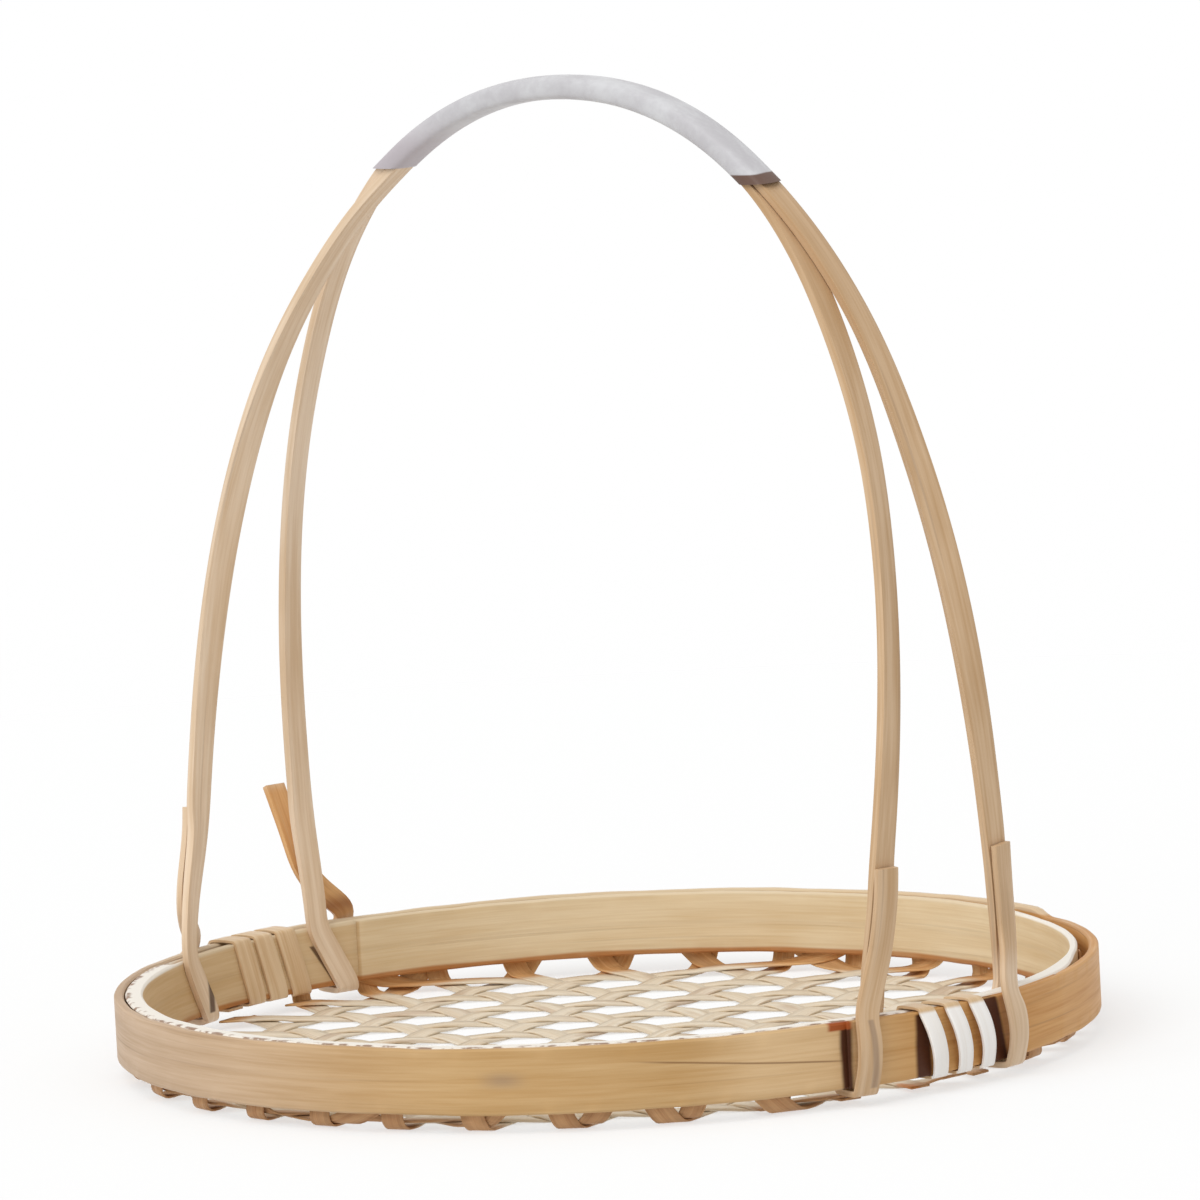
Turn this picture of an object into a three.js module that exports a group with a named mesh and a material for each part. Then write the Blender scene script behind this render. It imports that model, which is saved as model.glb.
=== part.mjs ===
// A round bamboo tray with an arched handle. An open hexagonal weave forms the base and turns
// up between two bent hoops. Two flat strips, stacked at the grip and spread at the feet, form
// the handle, and each of their four ends is looped round the rim. Two short windings bind the
// hoops together between the feet. Millimetres, +Z up. The handle stands in the XZ plane, and
// the origin is on the underside of the weave, at the middle of the tray.
import * as THREE from 'three';

// Fits
const seat = 0.3; // gap between pieces that touch

// Rim
const trayDiameter = 260; // across the outer hoop
const hoopHeight = 16.9;
const hoopLift = 5.1; // ground to the lower edge of the hoops
const outerHoopWall = 2.6;
const innerHoopWall = 2;
const hoopEdge = 0.5; // bevel along the hoops' edges
const hoopEdgeShare = 0.35; // and the most of a thinned end's thickness that it takes
const hoopTip = 0.8; // thickness of a hoop's thinned ends
const outerLapMiddle = 0; // where the outer hoop's ends lap, degrees round from +X
const innerLapMiddle = 186; // where the inner hoop's ends lap
const hoopLap = 37; // length of both laps, degrees
const outerLapHand = -1; // way round that the outer hoop runs from its inner end, 1 is anticlockwise
const innerLapHand = 1;

// Weave
const weavePitch = 25.5; // from hole to hole along a row
const weaveTurn = 104.5; // direction of the first family of strips, degrees from +X
const weaveAlong = 12.3; // from the origin to the centre of a hole, along that direction
const weaveAcross = 4; // and across it
const weaveWidth = 6.2;
const weaveThickness = 0.6;
const weaveBend = 3.4; // middle radius of the turn up into the rim
const weaveRise = 14.5; // length of the strips' ends between the hoops, beyond the turn
const weaveMargin = 4.5; // room kept between the last strip of a family and the bend
const weaveSettle = 2; // room kept between the last woven crossing and the bend
const weaveLead = 1; // straight run of a strip just before the bend

// Handle
const stripWidth = 6.9;
const stripThickness = 2.2;
const loopWidth = 6.4; // width of the strips where they pass round the rim
const loopThickness = 1.6; // and their thickness there
const loopSlack = 0.5; // room between a loop and the hoops, beneath and outside
const loopBulge = 2.2; // how much further a loop bows out at the middle of the outer hoop
const loopCorner = 1.5; // middle radius of a loop's corners
const handleTop = 253.8; // ground to the middle of the stacked strips
const handleHalfSpan = 125.1; // from the handle's middle to its legs, at the springing
const springHeight = 60; // where the arch passes into the legs
const archShoulder = 2.12; // exponent of the arch sideways, 2 is an ellipse
const archCrown = 2.38; // and upwards, more is a flatter top
const stackEase = 0.25; // share of a leg on which its strip comes out of the stack
const twistFrom = 0.2; // share of a leg at which it starts to twist
const topAlong = -0.8; // the top's distance from the tray's middle, along the handle
const topAcross = 5.2; // and across it
const feetAcross = -7.9; // the feet's distance from the tray's middle, across the handle
const tailHeight = 60; // ground to the end of a strip's tail
const tailSlope = 17; // height above the rim at which a tail has come back to its leg
const freeTailReach = 9; // how far the one sprung tail leans out
const bulgeFullness = 0.6; // exponent of the bowing of loops and bindings, less is fuller

// Grip
const gripLength = 142;
const gripWall = 0.5;
const gripEdge = 1.4; // rounding of the grip's section

// Rim bindings
const bindingThickness = 0.8;
const bindingTurns = 3;
const bindingLean = 3.6; // how far a turn drifts round the rim on its way down
const bindingBulge = 2; // how far a turn bows out at the middle of the outer hoop

// The pairs of legs: half the distance between them at the springing, and how late they part,
// where 1 parts them in a straight line from the grip.
const legPairs = [
  { side: 1, spread: 21.5, curve: 1.2 },
  { side: -1, spread: 19.2, curve: 0.88 },
];
// The legs, with places round the rim in degrees towards +Y from their end of the handle:
// where each goes in over the rim, the foot of its loop, and where its tail comes up outside.
// The twist is the most that the leg's flat side turns towards the other leg, in degrees.
const legs = [
  { strip: 'near', side: 1, inside: -12.5, foot: -16.8, outside: -16.4, twist: 10, free: false },
  { strip: 'far', side: 1, inside: 11, foot: 6, outside: 5.2, twist: 26, free: false },
  { strip: 'near', side: -1, inside: -20.5, foot: -15.5, outside: -10.8, twist: 24, free: false },
  { strip: 'far', side: -1, inside: 6, foot: 10.5, outside: 14, twist: 8, free: true },
];
// The bindings, with their middles in the same degrees, the way in which they are wound on
// (1 is towards +Y), their strips' width and the pitch from turn to turn.
const bindings = [
  { name: 'rim_binding_right', side: 1, middle: -3.15, hand: 1, width: 4.8, pitch: 8.7 },
  { name: 'rim_binding_left', side: -1, middle: -4.1, hand: -1, width: 6.6, pitch: 9.2 },
];

// Steps
const hoopSteps = 72;
const hoopLapSteps = 8;
const legSteps = 20;
const gripSteps = 20;
const footSteps = 7; // of a leg between the springing and the rim
const bendSteps = 3;
const wallStride = 3; // most that a strip's end moves round the rim in one step
const loopSteps = 4; // of a loop or a binding down the hoops
const cornerSteps = 3; // of a loop's corner
const bindingCornerSteps = 2;
const archDivisions = 800; // of the arch, to measure its length
const blockStep = 0.5; // between the radii at which a strip's end is checked for a loop in its way

// Sizes that follow
const fullTurn = 360;
const radians = 2 * Math.PI / fullTurn;
const rimTop = hoopLift + hoopHeight;
const outerFace = trayDiameter / 2;
const outerHoopInside = outerFace - outerHoopWall;
const layerStep = weaveThickness + seat; // from one layer of the weave to the next
const families = 3;
const familyTurn = fullTurn / 2 / families;
const weaveStack = families * weaveThickness + (families - 1) * seat;
const innerHoopOutside = outerHoopInside - weaveStack - 2 * seat;
const innerHoopInside = innerHoopOutside - innerHoopWall;
const weaveLevel = weaveThickness + seat / 2; // height of the weave's middle surface
const wallRadius = outerHoopInside - seat - weaveThickness / 2 - layerStep / 2;
const flatRadius = wallRadius - weaveBend;
const bendLength = weaveBend * Math.PI / 2;
const rowSpacing = weavePitch * Math.sqrt(3) / 2;

const blend = (a, b, x) => a + (b - a) * x;
const ease = (x, from, to) => THREE.MathUtils.smoothstep(x, from, to);

const bamboo = (color, roughness) => new THREE.MeshStandardMaterial({ color, roughness, metalness: 0 });

// Makes one closed body from a list of triangles' corners, with its faces pointing out.
function closedBody(points, triangles) {
  let volume = 0;
  const normal = new THREE.Vector3();
  for (const [a, b, c] of triangles) {
    volume += points[a].dot(normal.crossVectors(points[b], points[c]));
  }
  const outward = volume > 0 ? triangles : triangles.map(([a, b, c]) => [a, c, b]);
  const geometry = new THREE.BufferGeometry();
  const coordinates = points.flatMap((point) => point.toArray());
  geometry.setAttribute('position', new THREE.Float32BufferAttribute(coordinates, 3));
  geometry.setIndex(outward.flat());
  geometry.computeVertexNormals();
  return geometry;
}

// Joins a row of like rings with walls, each split along its shorter diagonal.
function ringWalls(rings, first) {
  const size = rings[0].length;
  const triangles = [];
  for (let ring = 0; ring < rings.length - 1; ring += 1) {
    for (let corner = 0; corner < size; corner += 1) {
      const next = (corner + 1) % size;
      const a = first + ring * size + corner;
      const b = first + ring * size + next;
      const forward = rings[ring][corner].distanceTo(rings[ring + 1][next]);
      const backward = rings[ring][next].distanceTo(rings[ring + 1][corner]);
      if (forward < backward) {
        triangles.push([a, b, b + size], [a, b + size, a + size]);
      } else {
        triangles.push([a, b, a + size], [b, b + size, a + size]);
      }
    }
  }
  return triangles;
}

// A solid strip through a row of rings, closed at both ends.
function sweptStrip(rings) {
  const size = rings[0].length;
  const triangles = ringWalls(rings, 0);
  const last = (rings.length - 1) * size;
  for (let corner = 1; corner < size - 1; corner += 1) {
    triangles.push([0, corner + 1, corner]);
    triangles.push([last, last + corner, last + corner + 1]);
  }
  return closedBody(rings.flat(), triangles);
}

// A sleeve between a row of outer rings and a row of inner ones.
function sweptSleeve(outerRings, innerRings) {
  const size = outerRings[0].length;
  const count = outerRings.length;
  const inner = count * size;
  const innerWalls = ringWalls(innerRings, inner).map(([a, b, c]) => [a, c, b]);
  const triangles = [...ringWalls(outerRings, 0), ...innerWalls];
  for (let corner = 0; corner < size; corner += 1) {
    const next = (corner + 1) % size;
    const end = (count - 1) * size;
    triangles.push([next, corner, inner + corner], [next, inner + corner, inner + next]);
    triangles.push([end + corner, end + next, inner + end + corner]);
    triangles.push([end + next, inner + end + next, inner + end + corner]);
  }
  return closedBody([...outerRings.flat(), ...innerRings.flat()], triangles);
}

function polar(radius, angle, height) {
  return new THREE.Vector3(radius * Math.cos(angle * radians), radius * Math.sin(angle * radians), height);
}

// A place round the rim, in degrees from +X, from the degrees that the legs' list uses.
function rimAngle(side, degrees) {
  return side > 0 ? degrees : fullTurn / 2 - degrees;
}

// The turn from one direction to another, the short way round, in degrees.
function turnBetween(from, to) {
  return THREE.MathUtils.euclideanModulo(to - from + fullTurn / 2, fullTurn) - fullTurn / 2;
}

// Hoops: each is one strip whose thinned ends lap past each other, the first one inside.
function hoopRing(inside, outside, angle) {
  const edge = Math.min(hoopEdge, (outside - inside) * hoopEdgeShare);
  const section = [
    [inside + edge, hoopLift], [outside - edge, hoopLift],
    [outside, hoopLift + edge], [outside, rimTop - edge],
    [outside - edge, rimTop], [inside + edge, rimTop],
    [inside, rimTop - edge], [inside, hoopLift + edge],
  ];
  return section.map(([radius, height]) => polar(radius, angle, height));
}

function hoop(inside, outside, lapMiddle, hand) {
  const place = (turn) => lapMiddle + hand * (turn - hoopLap / 2);
  const step = seat / outside / radians;
  const rings = [];
  for (let i = 0; i <= hoopLapSteps; i += 1) {
    const along = i / hoopLapSteps;
    const face = blend(inside + hoopTip, outside - hoopTip - seat, along);
    rings.push(hoopRing(inside, face, place(along * hoopLap)));
  }
  const fullFrom = hoopLap + step;
  const fullTo = fullTurn - step;
  const fullSteps = Math.round(hoopSteps * (fullTo - fullFrom) / fullTurn);
  for (let i = 0; i <= fullSteps; i += 1) {
    rings.push(hoopRing(inside, outside, place(blend(fullFrom, fullTo, i / fullSteps))));
  }
  for (let i = 0; i <= hoopLapSteps; i += 1) {
    const along = i / hoopLapSteps;
    const face = blend(inside + hoopTip + seat, outside - hoopTip, along);
    rings.push(hoopRing(face, outside, place(fullTurn + along * hoopLap)));
  }
  return sweptStrip(rings);
}

// The weave lies flat, then turns up at the rim. A point of it is given flat, with its height
// above the middle surface, and is carried round the bend along the tray's radius.
function cupped(x, y, offset) {
  const radius = Math.hypot(x, y);
  const beyond = radius - flatRadius;
  let reach = radius;
  let height = weaveLevel + offset;
  if (beyond > bendLength) {
    reach = flatRadius + weaveBend - offset;
    height = weaveLevel + weaveBend + beyond - bendLength;
  } else if (beyond > 0) {
    const turn = beyond / weaveBend;
    reach = flatRadius + (weaveBend - offset) * Math.sin(turn);
    height = weaveLevel + weaveBend - (weaveBend - offset) * Math.cos(turn);
  }
  return new THREE.Vector3(x / radius * reach, y / radius * reach, height);
}

// The three families of strips, each with its direction and its strips' distances from the
// origin, half a row to either side of the centre of a hole.
function weaveFamilies() {
  const hole = new THREE.Vector2(weaveAlong, weaveAcross);
  hole.rotateAround(new THREE.Vector2(), weaveTurn * radians);
  const furthest = flatRadius - weaveWidth / 2 - weaveMargin;
  return Array.from({ length: families }, (unused, index) => {
    const angle = (weaveTurn + familyTurn * index) * radians;
    const along = new THREE.Vector2(Math.cos(angle), Math.sin(angle));
    const across = new THREE.Vector2(-along.y, along.x);
    const first = hole.dot(across) + rowSpacing / 2;
    const from = Math.ceil((-furthest - first) / rowSpacing);
    const to = Math.floor((furthest - first) / rowSpacing);
    const offsets = [];
    for (let k = from; k <= to; k += 1) {
      offsets.push(first + k * rowSpacing);
    }
    return { index, along, across, offsets };
  });
}

// The openings that the loops and bindings need through the turned-up part of the weave.
function rimPassages() {
  const openings = legs.map(({ side, foot }) => ({ middle: rimAngle(side, foot), width: loopWidth }));
  for (const binding of bindings) {
    for (let turn = 0; turn < bindingTurns; turn += 1) {
      openings.push({ middle: bindingAngle(binding, turn, 1), width: binding.width });
    }
  }
  return openings;
}

// Whether a strip's end, at this distance from the middle, comes up where a loop goes down.
function endIsBlocked(family, offset, sign, passages) {
  for (let radius = flatRadius; radius < flatRadius + bendLength; radius += blockStep) {
    const edges = [-1, 1].map((edge) => {
      const distance = offset + edge * (weaveWidth / 2 + seat);
      const run = sign * Math.sqrt(radius * radius - distance * distance);
      const x = family.along.x * run + family.across.x * distance;
      const y = family.along.y * run + family.across.y * distance;
      return Math.atan2(y, x) / radians;
    });
    const span = turnBetween(edges[0], edges[1]);
    const centre = edges[0] + span / 2;
    for (const passage of passages) {
      const room = (passage.width / 2 + seat) / flatRadius / radians;
      if (Math.abs(turnBetween(centre, passage.middle)) < Math.abs(span) / 2 + room) {
        return true;
      }
    }
  }
  return false;
}

// A strip's crossings with the strips of the other families, in order along it. Each has the
// runs at which the strip's two edges enter and leave it, and the strip's height there.
function crossings(family, offset, all) {
  const half = weaveWidth / 2;
  const reach = half + seat / 2;
  const found = [];
  for (const other of all) {
    if (other.index === family.index) continue;
    const cosine = family.across.dot(other.across);
    const sine = other.across.dot(family.along);
    const run = (distance, from) => (distance - from * cosine) / sine;
    const over = (other.index - family.index + families) % families === 1;
    for (const distance of other.offsets) {
      const middle = run(distance, offset);
      const sign = Math.sign(sine);
      found.push({
        middle,
        radius: Math.hypot(middle, offset),
        enter: [-1, 1].map((edge) => run(distance - sign * reach, offset + edge * half)),
        leave: [-1, 1].map((edge) => run(distance + sign * reach, offset + edge * half)),
        woven: (over ? 1 : -1) * layerStep / 2,
      });
    }
  }
  return found.sort((a, b) => a.middle - b.middle);
}

// Half of a strip, from the middle of its run outwards, as sections: the runs of its two edges
// and the height. Inside, it goes over and under. Near the rim each family keeps to its own
// layer, so that three strips can pass between the hoops.
function halfStrip(family, offset, all, sign, passages) {
  const half = weaveWidth / 2;
  const wovenRadius = flatRadius - weaveWidth - weaveSettle;
  const layer = (family.index - 0.5) * layerStep;
  const ring = (radius) => [-1, 1].map((edge) => Math.sqrt(radius ** 2 - (offset + edge * half) ** 2));
  const blocked = endIsBlocked(family, offset, sign, passages);
  const list = crossings(family, offset, all).filter(({ middle }) => sign * middle > 0);
  if (sign < 0) list.reverse();
  const sections = [];
  let height = 0;
  let layered = false;
  for (const crossing of list) {
    const [first, second] = sign > 0 ? [crossing.enter, crossing.leave] : [crossing.leave, crossing.enter];
    const entry = first.map((run) => sign * run);
    const exit = second.map((run) => sign * run);
    if (crossing.radius < wovenRadius) {
      height = crossing.woven;
      sections.push({ runs: entry, height }, { runs: exit, height });
    } else if (!layered) {
      const last = ring(flatRadius - weaveLead);
      height = layer;
      sections.push({ runs: entry.map((run, edge) => Math.min(run, last[edge])), height });
      layered = true;
    }
  }
  if (!layered) {
    height = layer;
    sections.push({ runs: ring(flatRadius - weaveLead), height });
  }
  sections.push({ runs: ring(flatRadius), height });
  if (!blocked) {
    for (let i = 1; i <= bendSteps; i += 1) {
      sections.push({ runs: ring(flatRadius + bendLength * i / bendSteps), height });
    }
    const wallFoot = flatRadius + bendLength;
    const slant = Math.asin(Math.abs(offset) / wallFoot);
    const rise = weaveRise * Math.cos(slant);
    const wallSteps = Math.ceil(rise * Math.tan(slant) / wallStride);
    for (let i = 1; i <= wallSteps; i += 1) {
      sections.push({ runs: ring(wallFoot + rise * i / wallSteps), height });
    }
  }
  return sections.map((section) => ({ ...section, runs: section.runs.map((run) => sign * run) }));
}

function weaveStrip(family, offset, all, passages) {
  const before = halfStrip(family, offset, all, -1, passages).reverse();
  const after = halfStrip(family, offset, all, 1, passages);
  const rings = [...before, ...after].map(({ runs, height }) => {
    const corner = (edge, side) => {
      const distance = offset + (edge === 0 ? -1 : 1) * weaveWidth / 2;
      const x = family.along.x * runs[edge] + family.across.x * distance;
      const y = family.along.y * runs[edge] + family.across.y * distance;
      return cupped(x, y, height + side * weaveThickness / 2);
    };
    return [corner(0, -1), corner(1, -1), corner(1, 1), corner(0, 1)];
  });
  return sweptStrip(rings);
}

// The handle's arch, as seen from the side: a full half ellipse from springing to springing.
class Arch extends THREE.Curve {
  getPoint(t, target = new THREE.Vector3()) {
    const angle = Math.PI * (1 - t);
    const x = Math.sign(Math.cos(angle)) * Math.abs(Math.cos(angle)) ** (2 / archShoulder);
    const z = Math.abs(Math.sin(angle)) ** (2 / archCrown);
    return target.set(handleHalfSpan * x, 0, springHeight + (handleTop - springHeight) * z);
  }
}

const arch = new Arch();
arch.arcLengthDivisions = archDivisions;
const archLength = arch.getLength();
const halfGrip = gripLength / 2;

// A point of one handle strip along the arch, with the directions of its width and thickness.
// The run is measured from the middle of the grip.
function archFrame(strip, run) {
  const onArch = Math.min(Math.max(0.5 + run / archLength, 0), 1);
  const point = arch.getPointAt(onArch);
  const tangent = arch.getTangentAt(onArch);
  const outward = new THREE.Vector3(-tangent.z, 0, tangent.x);
  const hand = strip === 'near' ? -1 : 1;
  const { spread, curve } = legPairs.find(({ side }) => side * run >= 0);
  const partingRun = archLength / 2 - halfGrip;
  const along = Math.max(0, (Math.abs(run) - halfGrip) / partingRun);
  const clearAt = ((stripWidth + seat) / 2 / spread) ** (1 / curve);
  const layer = hand * (stripThickness + seat) / 2 * (1 - ease(along, clearAt, clearAt + stackEase));
  point.addScaledVector(outward, layer);
  point.y += hand * spread * along ** curve;
  leanPoint(point);
  const forward = tangent.clone();
  if (along > 0) {
    forward.y += hand * Math.sign(run) * spread * curve * along ** (curve - 1) / partingRun;
  }
  forward.normalize();
  const width = new THREE.Vector3().crossVectors(outward, forward).normalize();
  const leg = legs.find(({ strip: name, side }) => name === strip && side * run >= 0);
  const twist = hand * leg.twist * radians * Math.sin(Math.PI * ease(along, twistFrom, 1));
  width.applyAxisAngle(forward, twist);
  const normal = new THREE.Vector3().crossVectors(forward, width);
  return { point, width, normal };
}

// The handle leans: its top and its feet stand off the tray's middle by different amounts.
function leanPoint(point) {
  const rise = (point.z - rimTop) / (handleTop - rimTop);
  point.x += topAlong * rise;
  point.y += blend(feetAcross, topAcross, rise);
}

function stripRing({ point, width, normal }, across, thickness) {
  const corners = [[-1, -1], [1, -1], [1, 1], [-1, 1]];
  return corners.map(([a, b]) => point.clone()
    .addScaledVector(width, a * across / 2)
    .addScaledVector(normal, b * thickness / 2));
}

// The direction that faces away from the middle of the tray, turned up by the tilt.
function facing(angle, tilt) {
  return polar(Math.cos(tilt), angle, Math.sin(tilt));
}

// Rings of a flat strip through a row of stations. Each has a point, the way that the strip's
// outer face looks, its width and its thickness.
function stripRings(side, stations) {
  return stations.map(({ point, face, across, thickness }, index) => {
    const before = stations[Math.max(index - 1, 0)].point;
    const after = stations[Math.min(index + 1, stations.length - 1)].point;
    const forward = after.clone().sub(before).normalize();
    const width = new THREE.Vector3().crossVectors(face, forward).multiplyScalar(side).normalize();
    const normal = new THREE.Vector3().crossVectors(forward, width).multiplyScalar(side);
    return stripRing({ point, width, normal }, across, thickness);
  });
}

// How far a strip bows out, at a share of its way down the outer hoop.
function bulgeAt(share) {
  return Math.sin(Math.PI * share) ** bulgeFullness;
}

// The end of a handle strip: down inside the hoops, round under them, up outside, and on as a
// tail along the leg's outer face. Gives rings from the springing to the tail's end.
function legRings({ strip, side, inside, foot, outside, free }) {
  const spring = archFrame(strip, side * archLength / 2).point;
  const springRadius = Math.hypot(spring.x, spring.y);
  const springSide = Math.atan2(spring.y, side * spring.x) / radians;
  const inRadius = innerHoopInside - seat - loopThickness / 2;
  const outRadius = outerFace + seat + loopSlack + loopThickness / 2;
  const lowLevel = hoopLift - seat - loopSlack - loopThickness / 2;
  const legRadius = (height) => blend(inRadius, springRadius, ease(height, rimTop, springHeight));
  const legPlace = (height) => blend(inside, springSide, ease(height, rimTop, springHeight));
  const stations = [];
  const add = (radius, place, height, tilt, share) => {
    const angle = rimAngle(side, place);
    stations.push({
      point: polar(radius, angle, height),
      face: facing(angle, tilt),
      across: blend(loopWidth, stripWidth, share),
      thickness: blend(loopThickness, stripThickness, share),
    });
  };
  for (let i = 0; i <= footSteps; i += 1) {
    const height = blend(springHeight, rimTop, i / footSteps);
    add(legRadius(height), legPlace(height), height, 0, ease(height, rimTop, springHeight));
  }
  const low = lowLevel + loopCorner;
  const crest = rimTop + loopThickness;
  for (let i = 1; i < loopSteps; i += 1) {
    add(inRadius, blend(inside, foot, i / loopSteps), blend(rimTop, low, i / loopSteps), 0, 0);
  }
  for (let i = 0; i <= cornerSteps; i += 1) {
    const turn = Math.PI / 2 * i / cornerSteps;
    add(inRadius + loopCorner * (1 - Math.cos(turn)), foot, low - loopCorner * Math.sin(turn), turn, 0);
  }
  for (let i = 0; i <= cornerSteps; i += 1) {
    const turn = Math.PI / 2 * i / cornerSteps;
    const radius = outRadius - loopCorner * (1 - Math.sin(turn));
    add(radius, foot, low - loopCorner * Math.cos(turn), Math.PI / 2 + turn, 0);
  }
  for (let i = 1; i <= loopSteps; i += 1) {
    const share = i / loopSteps;
    const radius = outRadius + loopBulge * bulgeAt(share);
    add(radius, blend(foot, outside, share), blend(low, crest, share), Math.PI, 0);
  }
  const besideLeg = (stripThickness + loopThickness) / 2 + seat;
  for (let i = 1; i <= footSteps; i += 1) {
    const height = blend(crest, tailHeight, i / footSteps);
    const back = Math.sin(Math.PI / 2 * Math.min((height - crest) / tailSlope, 1));
    const sprung = free ? freeTailReach * (i / footSteps) ** 2 : 0;
    const radius = blend(outRadius, legRadius(height) + besideLeg, back) + sprung;
    add(radius, blend(outside, legPlace(height), back), height, Math.PI, 0);
  }
  return stripRings(side, stations).slice(1);
}

// The stations along the grip, which the strips and the sleeve round them share.
function gripRun(step) {
  return gripLength * (step / gripSteps - 0.5);
}

function handleStrip(strip) {
  const [right, left] = legs.filter((leg) => leg.strip === strip).sort((a, b) => b.side - a.side);
  const runs = [];
  for (let i = 0; i < legSteps; i += 1) {
    runs.push(blend(archLength / 2, halfGrip, i / legSteps));
  }
  const gripRuns = Array.from({ length: gripSteps + 1 }, (unused, i) => gripRun(i));
  const allRuns = [...runs.map((run) => -run), ...gripRuns, ...runs.reverse()];
  const middle = allRuns.map((run) => stripRing(archFrame(strip, run), stripWidth, stripThickness));
  return sweptStrip([...legRings(left).reverse(), ...middle, ...legRings(right)]);
}

// The grip: a sleeve wrapped tightly round the stacked strips.
function gripRings(width, height, edge) {
  const a = width / 2;
  const b = height / 2;
  const corners = [
    [-a + edge, -b], [a - edge, -b], [a, -b + edge], [a, b - edge],
    [a - edge, b], [-a + edge, b], [-a, b - edge], [-a, -b + edge],
  ];
  const rings = [];
  for (let i = 0; i <= gripSteps; i += 1) {
    const onArch = 0.5 + gripRun(i) / archLength;
    const point = arch.getPointAt(onArch);
    const tangent = arch.getTangentAt(onArch);
    leanPoint(point);
    rings.push(corners.map(([across, out]) => new THREE.Vector3(
      point.x - tangent.z * out, point.y + across, point.z + tangent.x * out)));
  }
  return rings;
}

function gripWrap() {
  const inWidth = stripWidth + 2 * seat;
  const inHeight = 2 * stripThickness + 3 * seat;
  const outer = gripRings(inWidth + 2 * gripWall, inHeight + 2 * gripWall, gripEdge);
  const inner = gripRings(inWidth, inHeight, Math.min(gripEdge, seat));
  return sweptSleeve(outer, inner);
}

// Where a binding's turn stands round the rim: down is 0 at the rim's top and 1 at its foot.
function bindingAngle({ side, middle, hand, pitch }, turn, down) {
  const along = (turn - (bindingTurns - 1) / 2) * pitch + (down - 0.5) * bindingLean;
  return rimAngle(side, middle + hand * along / outerFace / radians);
}

// A binding: one strip wound round both hoops. Each turn goes from beneath them up inside,
// over the top, down outside and under again, and the ends stay beneath.
function bindingRings(binding) {
  const half = bindingThickness / 2;
  const corner = bindingThickness + seat;
  const left = innerHoopInside - seat - half;
  const right = outerFace + seat + half;
  const top = rimTop + seat + half;
  const foot = hoopLift - seat - half;
  const stations = [];
  const add = (radius, angle, height, tilt) => {
    stations.push({
      point: polar(radius, angle, height),
      face: facing(angle, tilt),
      across: binding.width,
      thickness: bindingThickness,
    });
  };
  const bend = (radius, height, from, angle) => {
    for (let i = 0; i <= bindingCornerSteps; i += 1) {
      const turn = from - Math.PI / 2 * i / bindingCornerSteps;
      add(radius + corner * Math.cos(turn), angle, height + corner * Math.sin(turn), turn);
    }
  };
  for (let turn = 0; turn < bindingTurns; turn += 1) {
    const above = bindingAngle(binding, turn, 0);
    const below = bindingAngle(binding, turn, 1);
    bend(left + corner, foot + corner, -Math.PI / 2, bindingAngle(binding, turn - 1, 1));
    bend(left + corner, top - corner, Math.PI, above);
    bend(right - corner, top - corner, Math.PI / 2, above);
    for (let i = 1; i < loopSteps; i += 1) {
      const share = i / loopSteps;
      const height = blend(top - corner, foot + corner, share);
      add(right + bindingBulge * bulgeAt(share), blend(above, below, share), height, 0);
    }
    bend(right - corner, foot + corner, 0, below);
  }
  add(left + corner, bindingAngle(binding, bindingTurns - 1, 1), foot, -Math.PI / 2);
  return stripRings(binding.side, stations);
}

// The least gap between turns, measured from corner to corner, a turn or so apart.
function leastTurnGap(rings) {
  const turnCorners = 4;
  const ringsPerTurn = turnCorners * (bindingCornerSteps + 1) + loopSteps - 1;
  let least = Infinity;
  for (let i = 0; i < rings.length; i += 1) {
    for (let j = i + ringsPerTurn - turnCorners; j < rings.length; j += 1) {
      for (const p of rings[i]) {
        for (const q of rings[j]) {
          least = Math.min(least, p.distanceTo(q));
        }
      }
    }
  }
  return least;
}

const tray = new THREE.Group();

function addPiece(name, geometry, material) {
  const mesh = new THREE.Mesh(geometry, material);
  mesh.name = name;
  tray.add(mesh);
}

const outerHoop = hoop(outerHoopInside, outerFace, outerLapMiddle, outerLapHand);
const innerHoop = hoop(innerHoopInside, innerHoopOutside, innerLapMiddle, innerLapHand);
addPiece('outer_hoop', outerHoop, bamboo(0xc9a774, 0.55));
addPiece('inner_hoop', innerHoop, bamboo(0xd5bd92, 0.6));

const passages = rimPassages();
const weave = weaveFamilies();
for (const family of weave) {
  const letter = 'abc'[family.index];
  family.offsets.forEach((offset, index) => {
    const name = `weave_${letter}_${String(index + 1).padStart(2, '0')}`;
    addPiece(name, weaveStrip(family, offset, weave, passages), bamboo(0xdccba8, 0.65));
  });
}

addPiece('handle_strip_near', handleStrip('near'), bamboo(0xcba877, 0.5));
addPiece('handle_strip_far', handleStrip('far'), bamboo(0xcdac7c, 0.5));
addPiece('grip_wrap', gripWrap(), bamboo(0xd9d9df, 0.45));
for (const binding of bindings) {
  const rings = bindingRings(binding);
  console.log(`${binding.name}: least gap between turns ${leastTurnGap(rings).toFixed(2)} mm`);
  addPiece(binding.name, sweptStrip(rings), bamboo(0xe9e4d8, 0.5));
}

export default tray;
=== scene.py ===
from math import atan2, cos, degrees, exp, hypot, radians, sin

import bmesh
import bpy
from bpy.props import FloatProperty, FloatVectorProperty, PointerProperty
from mathutils import Matrix, Vector


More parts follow.
